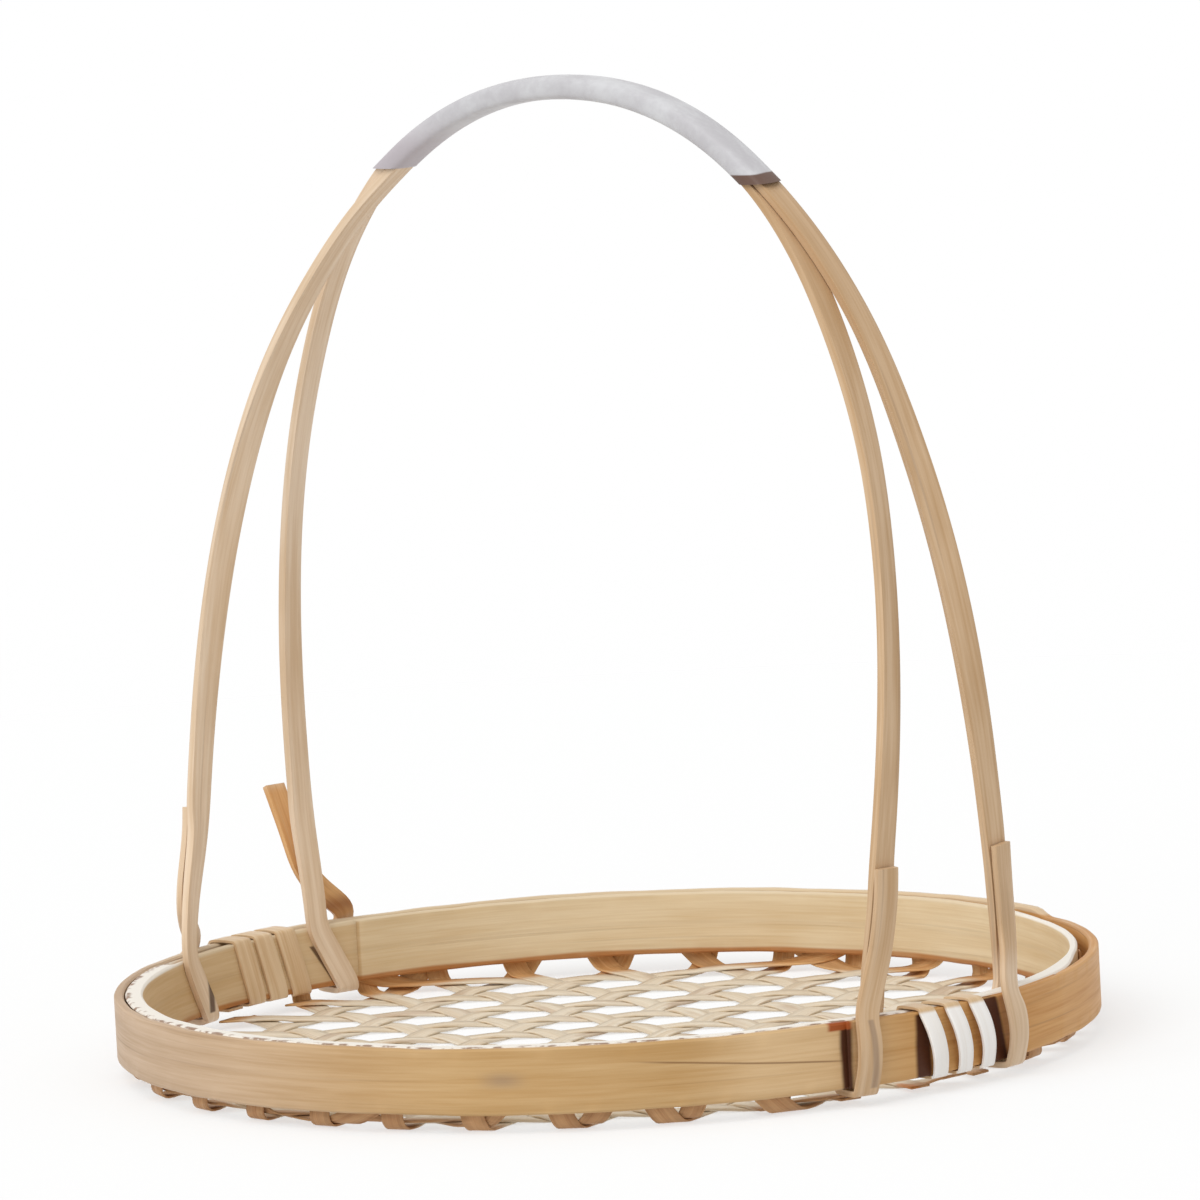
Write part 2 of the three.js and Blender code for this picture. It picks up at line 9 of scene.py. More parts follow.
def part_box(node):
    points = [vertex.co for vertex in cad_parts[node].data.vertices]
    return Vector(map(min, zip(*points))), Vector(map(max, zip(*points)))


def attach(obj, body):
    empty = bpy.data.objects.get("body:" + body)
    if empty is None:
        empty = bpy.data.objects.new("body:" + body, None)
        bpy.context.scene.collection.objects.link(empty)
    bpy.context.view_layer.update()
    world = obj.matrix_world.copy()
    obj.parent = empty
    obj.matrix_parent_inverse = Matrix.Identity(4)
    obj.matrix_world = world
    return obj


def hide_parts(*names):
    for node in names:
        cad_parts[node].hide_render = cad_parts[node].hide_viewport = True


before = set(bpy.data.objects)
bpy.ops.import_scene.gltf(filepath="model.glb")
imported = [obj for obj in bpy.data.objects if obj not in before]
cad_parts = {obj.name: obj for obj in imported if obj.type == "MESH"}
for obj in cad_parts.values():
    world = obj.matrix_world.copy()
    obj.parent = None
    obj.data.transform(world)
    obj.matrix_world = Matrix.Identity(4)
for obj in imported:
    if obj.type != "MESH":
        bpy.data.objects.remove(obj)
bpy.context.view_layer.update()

bl_info = {
    "name": "Handled Bamboo Tray",
    "version": (1, 0, 0),
    "blender": (4, 5, 0),
    "location": "View3D > Sidebar > Bamboo Tray",
    "description": "Makes the pieces, finishes and stage of a bamboo tray with an arched handle",
    "category": "Object",
}

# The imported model
HOOPS = ("outer_hoop", "inner_hoop")
WEAVE = sorted(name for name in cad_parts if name.startswith("weave_"))
HANDLE = ("handle_strip_near", "handle_strip_far")
ORANGE_TAILED = "handle_strip_far"
BINDINGS = ("rim_binding_right", "rim_binding_left")
GRIP = "grip_wrap"
GRIP_FEWEST_RINGS = 8
HOOP_LOW, HOOP_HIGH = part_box("outer_hoop")
RIM_TOP = HOOP_HIGH.z
RIM_FOOT = HOOP_LOW.z

MILLIMETRE = 0.001
SAME_PLACE = 0.001 * MILLIMETRE
FLAT = 1 - 1e-6  # the least cosine between the normals of faces that lie flat together
STRIP_CORNERS = 4
HOOP_CORNERS = 8
VIEW_TURN = 44  # the photo's angle round the tray from the handle's plane, in degrees
SHEEN = 0.22  # specular level of every surface
FLOOR_WHITE = (0.99, 0.99, 0.99, 1)
FLOOR_FADE = (0.2, 0.9)  # shares of the floor's radius between which its shadow fades
CLIP_END = 100

# Edges with a sharper turn than these are rounded, or shaded as edges
STRIP_EDGE_TURN = radians(38)
HOOP_EDGE_TURN = radians(30)
SHADED_EDGE_TURN = radians(50)
GRIP_SHADED_TURN = radians(60)

# The grain: one long pattern, of which each piece has its own stretch. Spacings are in metres, and
# the others are repeats per metre along the strip, or along and across it.
STRIP_UV = "Along the strip"
WEAVE_SPACING = 0.31
HANDLE_SPACING = 2.3
HOOP_SPACING = 1.7
BINDING_SPACING = 1.1
FIBRES_ALONG = 45
STREAKS_ALONG = 12
VEINS_ALONG = 9
PATCHES = (22, 60)
VEIN_WIDTH = 0.45  # share of the fibres' repeats across the strip
RELIEF = 0.18 * MILLIMETRE  # depth of its bumps

# The rim, in millimetres from the tray's middle
HOOP_FACE = 129.9
INNER_HOOP_INSIDE = 122.4
INNER_HOOP_OUTSIDE = 124.4
HOOP_EDGE_POWER = 3  # how closely the waves and the step keep to a hoop's edges

# The stretch where the inner hoop's top spreads to the outer hoop, in degrees round the tray
FLARE_FROM = 208
FLARE_TO = 396
FLARE_FADE_IN = 12
FLARE_FADE_OUT = 14
FLARE_DEPTH = 1.2  # how far it reaches below the rim's top, in millimetres
FLARE_LIMIT = 127.1  # how far out it may reach, in millimetres from the tray's middle

# The low step in the outer hoop's top, in degrees round the tray
STEP_ANGLE = 67.5
STEP_SOFT = 2
STEP_FADE = 9

# Bands of tone, in millimetres to the right in the photo's view, with the softness where one is given
PALE_LEFT = (-125, -35)
ORANGE_RIGHT = (30, 110)
PALE_MIDDLE = (26, 66, 12)
LAP_END = (-67, -66.4)
GRIP_END_ACROSS = 39  # the middle of the grip's right end

# Stretches of the rim, in degrees round the tray, each with its softness
BACK = (60, 200, 12)
INNER_BACK = (72, 200, 6)
LAP_BACK = (150, 235, 10)
# FOOT_BACK: the stretch of the painted shade along the inner hoop's foot
FOOT_BACK = (60, 230, 8)
WEAVE_BACK = (40, 230, 10)
FLECKED = (FLARE_FROM - 10, FLARE_TO, 6)

# Other bands, in millimetres
TOP_EDGE = (0.9, 0.3)  # below the rim's top
CUT_EDGE = (1.1, 0.3)
FLECK_BAND = (0.6, 1.9)  # outside the inner hoop
SEAM = (13.2, 14.2, 0.6)  # heights from and to, and softness
# FOOT_TOP: the heights at which the painted shade along the inner hoop's foot ends
FOOT_TOP = (6.2, 7)
# WEAVE_TURN_UP: where the weave turns up under the hoops and takes a painted shade
WEAVE_TURN_UP = (115, 122)  # from the tray's middle
WEAVE_EDGE = (114, 117)
BINDING_TOP = (21.2, 22.2)
HANDLE_CHANGE = (-60, 60)  # along X, from the pale left side to the right one
UNDER_GRIP = (30, 60)
UNDER_GRIP_HEIGHTS = (170, 215)
PALE_LOOP = (100, 120)
PALE_LOOP_ANGLES = (2, 6)  # in degrees
PALE_LOOP_TOP = (26, 34)
GRIP_LOW = (-60, -20)
GRIP_LOW_TOP = (236, 250)

# Marks on the bamboo: the angles round the tray from and to, in degrees, the heights from and to, in
# millimetres, the lean in degrees per millimetre of height, and the share of the mark's colour
# Painted shadows in the gaps where the near right foot's loop and the right binding stand off the outer
# hoop
OUTER_HOOP_PAINTED_SHADOWS = (
    (-19.3, -17.9, 4, 20.6, 0, 0.97),
    (-9.3, -7.1, 4, 21.2, 0, 0.97),
    (2.2, 4.7, 4, 21.8, -0.1, 0.97),
)
OUTER_HOOP_RED = (-20.8, -17.9, 20.4, 22.6, 0, 0.95)
# Painted contact shadow on the inner hoop beside the far left foot's loop
INNER_HOOP_PAINTED_SHADOW = (172.2, 172.9, 3, 17, 0.33, 0.8)
# Painted shade of a groove along the outer pass of the near right foot's loop
LOOP_GROOVE_SHADE = (-16.5, -15.7, 5, 22.5, 0, 0.5)
# Painted shadow in the gap on the inside pass of the near left foot's loop
FOOT_PAINTED_SHADOW = (-164.9, -163.5, 6, 21.5, 0, 0.85)
FOOT_ORANGE = (-12.5, -6.5, -1, 8, 0, 0.6)

# Marks of other shapes, in the same units
LONG_LINE = (-42, -19, 14.5, 14.95, 0.75)  # angles from and to, heights from and to, and the share
LONG_LINE_SOFT = (3, 0.2)
LONG_LINE_MIDDLE = -30
LONG_LINE_SINK = 0.2  # millimetres per degree
SMUDGE = (-58.3, 1.8, 14, 1.6, 0.45)  # middle and half size both ways, and the share
# Painted red-brown shade low on the orange tail, where its inner face is in shadow
TAIL_PAINTED_SHADE = (24, 28, 2.5, 0.55)  # heights from and to, softness and share


# Settings

def length(name, description, default):
    """A size in metres."""
    return FloatProperty(
        name=name, description=description, default=default, min=0, unit="LENGTH", precision=5)


def colour(name, description, red, green, blue):
    """A colour, written as it shows on a screen, from 0 to 255."""
    shown = [value / 255 for value in (red, green, blue)]
    linear = [value / 12.92 if value <= 0.04045 else ((value + 0.055) / 1.055) ** 2.4 for value in shown]
    return FloatVectorProperty(
        name=name, description=description, default=linear, size=3, min=0, max=1, subtype="COLOR")


class HoopSettings(bpy.types.PropertyGroup):
    edge: length("Edge", "Rounding of the hoops' edges", 0.28 * MILLIMETRE)
    wave: length("Wave", "How far the planed edges of a hoop rise and fall", 0.9 * MILLIMETRE)
    wave_size: length("Wave size", "Size of one rise of a hoop's edge", 26 * MILLIMETRE)
    flare: length("Flare", "How far the inner hoop's top spreads outwards", 2.6 * MILLIMETRE)
    step_up: length("Step up", "Rise of the outer hoop's top before its step", 1.2 * MILLIMETRE)
    step_down: length("Step down", "Fall of the outer hoop's top after its step", 0.9 * MILLIMETRE)
    light: colour("Light", "Light grain of the outer hoop", 208, 173, 124)
    dark: colour("Dark", "Dark grain of the outer hoop", 188, 147, 93)
    left_light: colour("Left light", "Light grain where the outer hoop is pale", 210, 183, 155)
    left_dark: colour("Left dark", "Dark grain where the outer hoop is pale", 186, 156, 124)
    pale_light: colour("Pale light", "Light grain beside the right near foot", 226, 194, 150)
    pale_dark: colour("Pale dark", "Dark grain beside the right near foot", 204, 168, 120)
    right_light: colour("Right light", "Light grain where the outer hoop is orange", 218, 168, 108)
    right_dark: colour("Right dark", "Dark grain where the outer hoop is orange", 194, 138, 76)
    inner_light: colour("Inner light", "Light grain of the inner hoop", 234, 215, 181)
    inner_dark: colour("Inner dark", "Dark grain of the inner hoop", 213, 185, 142)
    cut: colour("Cut edge", "Pale cut edge along the top of the inner hoop", 246, 241, 232)
    back_edge: colour("Back edge", "Top edge of both hoops at the back", 226, 207, 176)
    # foot: the colour of the painted shade along the inner hoop's foot, where the weave meets it
    foot: colour("Foot", "Orange-brown stain along the inner hoop's foot", 178, 112, 50)
    fleck: colour("Fleck", "Flecks on the pale cut edge", 134, 88, 48)
    # stain: the colour of painted shadows beside the right feet, the right binding and the far left
    # foot's loop
    stain: colour("Stain", "Dark stains beside the bindings", 66, 26, 8)
    red: colour("Red", "Red stain on the rim", 158, 72, 20)
    line: colour("Line", "Long dark line in the grain", 124, 88, 54)
    smudge: colour("Smudge", "Grey smudges", 142, 124, 110)


class WeaveSettings(bpy.types.PropertyGroup):
    edge: length("Edge", "Rounding of the weave's strips", 0.12 * MILLIMETRE)
    light: colour("Light", "Light grain of the weave", 237, 226, 206)
    dark: colour("Dark", "Dark grain of the weave", 212, 192, 163)
    # turned_light and turned_dark: painted shade where the weave turns up under the hoops
    turned_light: colour("Turned light", "Light grain where the weave turns up", 208, 156, 98)
    turned_dark: colour("Turned dark", "Dark grain where the weave turns up", 158, 100, 50)
    # back_light and back_dark: the same painted shade at the back, paler and more orange
    back_light: colour("Back light", "Light grain where the weave turns up at the back", 232, 188, 132)
    back_dark: colour("Back dark", "Dark grain where the weave turns up at the back", 196, 138, 78)
    blotch: colour("Blotch", "Brown blotches on the weave", 168, 128, 92)
    orange: colour("Orange", "Orange stain by the right binding", 206, 118, 34)


class HandleSettings(bpy.types.PropertyGroup):
    edge: length("Edge", "Rounding of the handle strips' edges", 0.45 * MILLIMETRE)
    light: colour("Light", "Light grain of the handle's right side", 219, 189, 154)
    dark: colour("Dark", "Dark grain of the handle's right side", 190, 154, 113)
    left_light: colour("Left light", "Light grain of the handle's left side", 238, 216, 190)
    left_dark: colour("Left dark", "Dark grain of the handle's left side", 213, 183, 148)
    tail: length("Tail", "Length of the far strip's orange left tail", 50 * MILLIMETRE)
    tail_light: colour("Tail light", "Light grain of the orange tail", 232, 184, 124)
    tail_dark: colour("Tail dark", "Dark grain of the orange tail", 202, 144, 82)
    # smudge: grey veins in the grain, and the painted shade of a groove along a loop
    smudge: colour("Smudge", "Grey line along a loop", 128, 108, 96)
    # red: the painted red-brown shade low on the orange tail
    red: colour("Red", "Soft red stain at the foot of the orange tail", 128, 48, 14)
    # stain: the painted shadow on the inside pass of the near left foot's loop
    stain: colour("Stain", "Dark line along a loop", 60, 28, 14)


class GripSettings(bpy.types.PropertyGroup):
    width: length("Width", "Width of the grip across the strips", 9.6 * MILLIMETRE)
    height: length("Height", "Height of the grip through the strips", 6.5 * MILLIMETRE)
    edge: length("Edge", "Rounding of the grip's section", 1.4 * MILLIMETRE)
    wall: length("Wall", "Thickness of the wound tape", 0.45 * MILLIMETRE)
    left_end: length("Left end", "Height of the grip's level left end", 231.6 * MILLIMETRE)
    right_end: length("Right end", "Height of the middle of the grip's right end", 230.1 * MILLIMETRE)
    right_slope: FloatProperty(
        name="Right slope", description="Rise of the right end's cut across the view", default=0.05)
    # The brown band at the right end is a painted shadow under the tape's end
    end_shadow_band: length("End band", "Height of the brown band at the right end", 1.9 * MILLIMETRE)
    light: colour("Light", "Light of the tape", 213, 213, 215)
    dark: colour("Dark", "Shade of the tape", 195, 193, 196)
    low: colour("Low", "Shade of the tape low on the left side", 184, 175, 180)
    # brown: the colour of the tape's spots, and of the painted shadow at its right end
    brown: colour("Brown", "Brown end of the tape", 92, 58, 36)


class BindingSettings(bpy.types.PropertyGroup):
    edge: length("Edge", "Rounding of the binding's edges", 0.2 * MILLIMETRE)
    white: colour("White", "Light grain of the binding's outer passes", 255, 253, 250)
    cream: colour("Cream", "Dark grain of the binding's outer passes", 242, 236, 228)
    light: colour("Light", "Light grain of the other passes", 232, 206, 170)
    dark: colour("Dark", "Dark grain of the other passes", 206, 170, 126)


class StageSettings(bpy.types.PropertyGroup):
    turn: FloatProperty(
        name="Turn", description="Camera's angle round the tray from the handle's plane",
        default=radians(VIEW_TURN), subtype="ANGLE")
    rise: FloatProperty(
        name="Rise", description="Camera's angle above the floor", default=radians(9.4), subtype="ANGLE")
    roll: FloatProperty(
        name="Roll", description="Camera's roll, clockwise", default=radians(3.1), subtype="ANGLE")
    distance: length("Distance", "From the camera to the tray's middle", 2.857)
    lens: FloatProperty(
        name="Lens", description="Focal length on a 36 mm sensor", default=324.6, unit="CAMERA")
    aim: FloatVectorProperty(
        name="Aim", description="Point at the middle of the picture",
        default=(-0.01078, 0.01641, 0.11655), size=3, unit="LENGTH")
    floor_size: length("Floor size", "Radius of the floor", 1.6)
    sky: FloatProperty(name="Sky", description="Strength of the even light", default=0.68, min=0)
    lamp: FloatProperty(name="Lamp", description="Strength of the soft lamp", default=1.35, min=0)
    lamp_angle: FloatProperty(
        name="Lamp size", description="Apparent size of the lamp", default=radians(50), subtype="ANGLE")
    lamp_turn: FloatProperty(
        name="Lamp turn", description="The lamp's angle round the tray", default=radians(4),
        subtype="ANGLE")
    lamp_tilt: FloatProperty(
        name="Lamp tilt", description="The lamp's angle from straight above", default=radians(42),
        subtype="ANGLE")
    shade: FloatProperty(
        name="Shade", description="Share of the shadow that the floor shows", default=0.38, min=0, max=1)


# Modelling

def only(piece):
    """Selects this piece alone and makes it the active one."""
    bpy.ops.object.select_all(action="DESELECT")
    piece.select_set(True)
    bpy.context.view_layer.objects.active = piece


def edit(piece):
    """Starts edit mode on edges, with nothing selected."""
    only(piece)
    bpy.ops.object.mode_set(mode="EDIT")
    bpy.ops.mesh.select_mode(type="EDGE")
    bpy.ops.mesh.select_all(action="DESELECT")


def done():
    """Ends edit mode."""
    bpy.ops.object.mode_set(mode="OBJECT")


def select_edges(piece, test):
    """Selects, in edit mode, the edges that pass a test."""
    shape = bmesh.from_edit_mesh(piece.data)
    for edge in shape.edges:
        edge.select_set(test(edge))
    shape.select_flush_mode()
    bmesh.update_edit_mesh(piece.data)


def applied(piece, kind, **settings):
    """Adds a modifier and applies it."""
    only(piece)
    modifier = piece.modifiers.new(kind.title(), kind)
    for name, value in settings.items():
        setattr(modifier, name, value)
    bpy.ops.object.modifier_apply(modifier=modifier.name)


def merged_copy(node, name):
    """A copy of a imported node, with its loose triangles merged into one closed mesh."""
    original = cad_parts[node]
    only(original)
    bpy.ops.object.duplicate()
    piece = bpy.context.active_object
    piece.parent = None
    piece.name = piece.data.name = name
    for key in [key for key in piece.keys() if key.startswith("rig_")]:
        del piece[key]
    piece.data.materials.clear()
    edit(piece)
    bpy.ops.mesh.select_all(action="SELECT")
    bpy.ops.mesh.customdata_custom_splitnormals_clear()
    bpy.ops.mesh.remove_doubles(threshold=SAME_PLACE)
    done()
    return piece


def flat_group(face):
    """The faces that lie flat with this one and join it, as a dictionary's keys. Unlike a set's
    members, these come in the same order on every run."""
    group = {face: True}
    waiting = [face]
    while waiting:
        for edge in waiting.pop().edges:
            for other in edge.link_faces:
                if other not in group and other.normal.dot(face.normal) > FLAT:
                    group[other] = True
                    waiting.append(other)
    return group


def outline_of(group):
    """The corners round a group of faces, in order."""
    border = [edge for face in group for edge in face.edges
              if sum(other in group for other in edge.link_faces) == 1]
    following = {}
    for edge in border:
        for vertex in edge.verts:
            following.setdefault(vertex, []).append(edge.other_vert(vertex))
    ring = [border[0].verts[0], border[0].verts[1]]
    while len(ring) < len(following):
        ring.append(next(other for other in following[ring[-1]] if other not in ring[-2:]))
    return ring


def next_ring(ring, seen):
    """The corners after a ring's, each with the corner that it continues."""
    choices = [[edge.other_vert(vertex) for edge in vertex.link_edges
                if edge.other_vert(vertex) not in seen] for vertex in ring]

    def best(index, used):
        """The nearest corners for those from index on, and their total distance."""
        if index == len(ring):
            return 0, []
        found = None
        for choice in choices[index]:
            if choice in used:
                continue
            rest = best(index + 1, used | {choice})
            if rest is None:
                continue
            total = rest[0] + (choice.co - ring[index].co).length
            if found is None or total < found[0]:
                found = total, [choice, *rest[1]]
        return found

    found = best(0, frozenset())
    return None if found is None else found[1]


def rings_of(shape, corners):
    """The rings of corners along a swept strip, from one flat end to the other."""
    for face in shape.faces:
        group = flat_group(face)
        if len({vertex for member in group for vertex in member.verts}) != corners:
            continue
        ring = outline_of(group)
        rings = [ring]
        seen = set(ring)
        while True:
            beyond = {edge.other_vert(vertex) for vertex in ring for edge in vertex.link_edges} - seen
            if len(beyond) != corners:
                break
            ring = next_ring(ring, seen)
            if ring is None:
                break
            rings.append(ring)
            seen |= beyond
        if len(seen) == len(shape.verts):
            return rings
    raise RuntimeError("this node is not a strip with flat ends")


def middles_of(rings):
    """The middle of each ring."""
    return [sum((vertex.co for vertex in ring), Vector()) / len(ring) for ring in rings]


def strip_copy(node, name, corners, offset):
    """A merged copy of a strip in clean rings, with its grain's coordinates along and round it.
    Returns the piece and the middles of its rings."""
    piece = merged_copy(node, name)
    shape = bmesh.new()
    shape.from_mesh(piece.data)
    rings = rings_of(shape, corners)
    middles = middles_of(rings)
    along = [offset]
    for before, after in zip(middles, middles[1:]):
        along.append(along[-1] + (after - before).length)
    middle_ring = rings[len(rings) // 2]
    around = [0.0]
    for corner in range(corners):
        here, there = middle_ring[corner], middle_ring[(corner + 1) % corners]
        around.append(around[-1] + (there.co - here.co).length)
    place = {vertex: (index, corner) for index, ring in enumerate(rings)
             for corner, vertex in enumerate(ring)}

    def turns(edge):
        """Whether an edge runs round the strip, and whether it runs along it."""
        (ring_a, corner_a), (ring_b, corner_b) = (place[vertex] for vertex in edge.verts)
        beside = (corner_a - corner_b) % corners in (1, corners - 1)
        return ring_a == ring_b and beside, ring_a != ring_b and corner_a == corner_b

    diagonals = [edge for edge in shape.edges if not any(turns(edge))]
    bmesh.ops.dissolve_edges(shape, edges=diagonals, use_verts=False)
    grain = shape.loops.layers.uv.new(STRIP_UV)
    crease = shape.edges.layers.float.new("crease_edge")
    last = len(rings) - 1
    for face in shape.faces:
        met = {place[vertex][1] for vertex in face.verts}
        closing = {0, corners - 1} <= met and len(face.verts) == 4
        for loop in face.loops:
            index, corner = place[loop.vert]
            round_it = around[corners] if closing and corner == 0 else around[corner]
            loop[grain].uv = (along[index], round_it)
    for edge in shape.edges:
        across, lengthwise = turns(edge)
        at_end = across and place[edge.verts[0]][0] in (0, last)
        edge[crease] = 1.0 if lengthwise or at_end else 0.0
    shape.to_mesh(piece.data)
    shape.free()
    return piece, middles


def smoothed(piece, levels, edge, segments):
    """Smooths a strip along its length, then rounds its edges."""
    applied(piece, "SUBSURF", levels=levels, render_levels=levels, boundary_smooth="PRESERVE_CORNERS")
    applied(piece, "BEVEL", width=edge, segments=segments, limit_method="ANGLE",
            angle_limit=STRIP_EDGE_TURN, harden_normals=True)
    only(piece)
    bpy.ops.object.shade_smooth_by_angle(angle=SHADED_EDGE_TURN)


def wavy(piece, strength, size, direction, group):
    """Moves a vertex group to and fro in one direction by a soft noise."""
    noise = bpy.data.textures.new(piece.name, "CLOUDS")
    noise.noise_scale = size
    noise.noise_depth = 2
    applied(piece, "DISPLACE", texture=noise, strength=strength, mid_level=0.5, direction=direction,
            vertex_group=group, texture_coords="LOCAL")


def weighted_group(piece, name, weight):
    """A vertex group whose weights follow from the vertices' places."""
    group = piece.vertex_groups.new(name=name)
    for vertex in piece.data.vertices:
        group.add([vertex.index], weight(vertex.co), "REPLACE")


def reshaped(piece, moved):
    """Moves each vertex to the place that a rule gives for it."""
    for vertex in piece.data.vertices:
        vertex.co = moved(vertex.co)


def step_between(value, low, high):
    """0 up to low, 1 from high on, and soft between them."""
    share = min(max((value - low) / (high - low), 0), 1)
    return share * share * (3 - 2 * share)


def path_of(node):
    """The middles of a packed strip's rings, from its end at -X to its end at +X."""
    shape = bmesh.new()
    shape.from_mesh(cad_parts[node].data)
    bmesh.ops.remove_doubles(shape, verts=shape.verts, dist=SAME_PLACE)
    middles = middles_of(rings_of(shape, STRIP_CORNERS))
    shape.free()
    return middles if middles[0].x < middles[-1].x else middles[::-1]


def hand_over(piece, node, material):
    """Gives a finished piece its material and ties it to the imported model."""
    piece.data.materials.append(material)
    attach(piece, "root")
    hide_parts(node)


# Materials

class Wire:
    """A node's output that Python's arithmetic works on."""

    def __init__(self, tree, socket):
        self.tree = tree
        self.socket = socket

    def __add__(self, other):
        return self.tree.maths("ADD", self, other)

    def __radd__(self, other):
        return self.tree.maths("ADD", other, self)

    def __sub__(self, other):
        return self.tree.maths("SUBTRACT", self, other)

    def __rsub__(self, other):
        return self.tree.maths("SUBTRACT", other, self)

    def __mul__(self, other):
        return self.tree.maths("MULTIPLY", self, other)

    def __rmul__(self, other):
        return self.tree.maths("MULTIPLY", other, self)


class Tree:
    """The nodes of a material or world under construction."""

    def __init__(self, owner):
        owner.use_nodes = True
        self.nodes = owner.node_tree.nodes
        self.links = owner.node_tree.links

    def feed(self, socket, value):
        """Links a wire to a socket, or sets the socket's value."""
        if isinstance(value, Wire):
            self.links.new(value.socket, socket)
        else:
            socket.default_value = value

    def node(self, kind, settings, inputs, output=0):
        """A node of this kind, with its settings and its sockets' values or links."""
        made = self.nodes.new(kind)
        for name, value in settings.items():
            setattr(made, name, value)
        for name, value in inputs.items():
            self.feed(made.inputs[name], value)
        return Wire(self, made.outputs[output])

    def maths(self, operation, first, second):
        return self.node("ShaderNodeMath", {"operation": operation}, {0: first, 1: second})

    def between(self, value, low, high):
        """0 up to low, 1 from high on, and soft between them."""
        return self.node("ShaderNodeMapRange", {"interpolation_type": "SMOOTHSTEP"},
                         {"Value": value, "From Min": low, "From Max": high})

    def window(self, value, low, high, soft):
        """1 between two values and 0 beyond them, with soft ends."""
        rise = self.between(value, low - soft, low + soft)
        return rise * (1 - self.between(value, high - soft, high + soft))

    def mix(self, share, first, second):
        """A mix of two colours. The node has sockets for numbers too, so colours go by index."""
        colours = {6: self.rgba(first), 7: self.rgba(second)}
        return self.node("ShaderNodeMix", {"data_type": "RGBA"}, {"Factor": share, **colours}, 2)

    @staticmethod
    def rgba(value):
        return value if isinstance(value, Wire) else (*value, 1)

    def scaled(self, vector, *sizes):
        return self.node("ShaderNodeVectorMath", {"operation": "MULTIPLY"}, {0: vector, 1: sizes})

    def length(self, vector):
        return self.node("ShaderNodeVectorMath", {"operation": "LENGTH"}, {0: vector}, "Value")

    def noise(self, vector, detail, roughness=0.5):
        return self.node("ShaderNodeTexNoise", {"noise_dimensions": "3D"},
                         {"Vector": vector, "Scale": 1.0, "Detail": detail, "Roughness": roughness})


class Finish(Tree):
    """A surface material under construction."""

    def __init__(self, name, roughness):
        self.material = bpy.data.materials.new(name)
        super().__init__(self.material)
        self.surface = self.nodes["Principled BSDF"]
        self.set("Roughness", roughness)
        self.set("Specular IOR Level", SHEEN)
        self.place = self.node("ShaderNodeTexCoord", {}, {}, "Object")
        shown = self.scaled(self.place, *[1 / MILLIMETRE] * 3)
        self.x, y, self.z = (self.node("ShaderNodeSeparateXYZ", {}, {"Vector": shown}, axis)
                             for axis in "XYZ")
        self.angle = self.maths("ARCTAN2", y, self.x) * degrees(1)
        self.turned = self.angle + self.maths("LESS_THAN", self.angle, 0.0) * 360
        self.radius = self.length(self.scaled(shown, 1, 1, 0))
        self.across = self.x * cos(radians(VIEW_TURN)) + y * sin(radians(VIEW_TURN))

    def set(self, name, value):
        self.feed(self.surface.inputs[name], value)

    def relief(self, height, depth, strength):
        """Bumps of this depth in metres, from a height between 0 and 1."""
        self.set("Normal", self.node("ShaderNodeBump", {}, {
            "Height": height, "Distance": depth, "Strength": strength}))


class Bamboo(Finish):
    """Split bamboo: fine fibres and broader streaks along the strip, with soft patches. Fibres and
    streaks are counts per metre across the strip."""

    def __init__(self, name, roughness, fibres, streaks, contrast):
        super().__init__(name, roughness)
        uv = self.node("ShaderNodeUVMap", {"uv_map": STRIP_UV}, {})
        self.run = self.node("ShaderNodeSeparateXYZ", {}, {"Vector": uv}, "X")
        fibre = self.noise(self.scaled(uv, FIBRES_ALONG, fibres, 1), 3.0, 0.6)
        self.streak = self.noise(self.scaled(uv, STREAKS_ALONG, streaks, 1), 2.0)
        self.patch = self.noise(self.scaled(uv, *PATCHES, 1), 2.0)
        veins = self.noise(self.scaled(uv, VEINS_ALONG, fibres * VEIN_WIDTH, 1), 1.0)
        self.vein = self.between(veins, 0.62, 0.74)
        level = fibre * 0.3 + self.streak * 0.4 + self.patch * 0.3
        self.grain = self.between(level, 0.5 - contrast, 0.5 + contrast)
        self.set("Roughness", roughness + (0.5 - fibre) * 0.25)
        self.relief(fibre * 0.6 + self.streak * 0.4 - self.vein * 0.3, RELIEF, 0.5)
        self.paint = None

    def wander(self, size):
        """A soft wander to both sides of 0, which roughens the outline of a mark or band."""
        return (self.patch - 0.5) * size

    def grained(self, light, dark, share=None):
        """Lays a grain of two shades, or mixes it by a share into what is there."""
        shade = self.mix(self.grain, dark, light)
        self.paint = shade if share is None else self.mix(share, self.paint, shade)

    def marked(self, share, shade):
        """Lays a colour over the grain by a share."""
        self.paint = self.mix(share, self.paint, shade)

    def veined(self, share, shade):
        """Dark veins in the grain."""
        self.marked(self.vein * share, shade)

    def mark(self, place, within=1.0):
        """The share of one of the marks that are listed at the top."""
        start, end, bottom, top, lean, share = place
        angle = self.angle + self.wander(0.8) - (self.z - (bottom + top) / 2) * lean
        height = self.z + self.wander(0.8)
        at_angle = self.window(angle, start, end, min(0.35, (end - start) / 4))
        return at_angle * self.window(height, bottom, top, min(0.3, (top - bottom) / 4)) * share * within

    def painted(self):
        self.set("Base Color", self.paint)
        return self.material


# Pieces

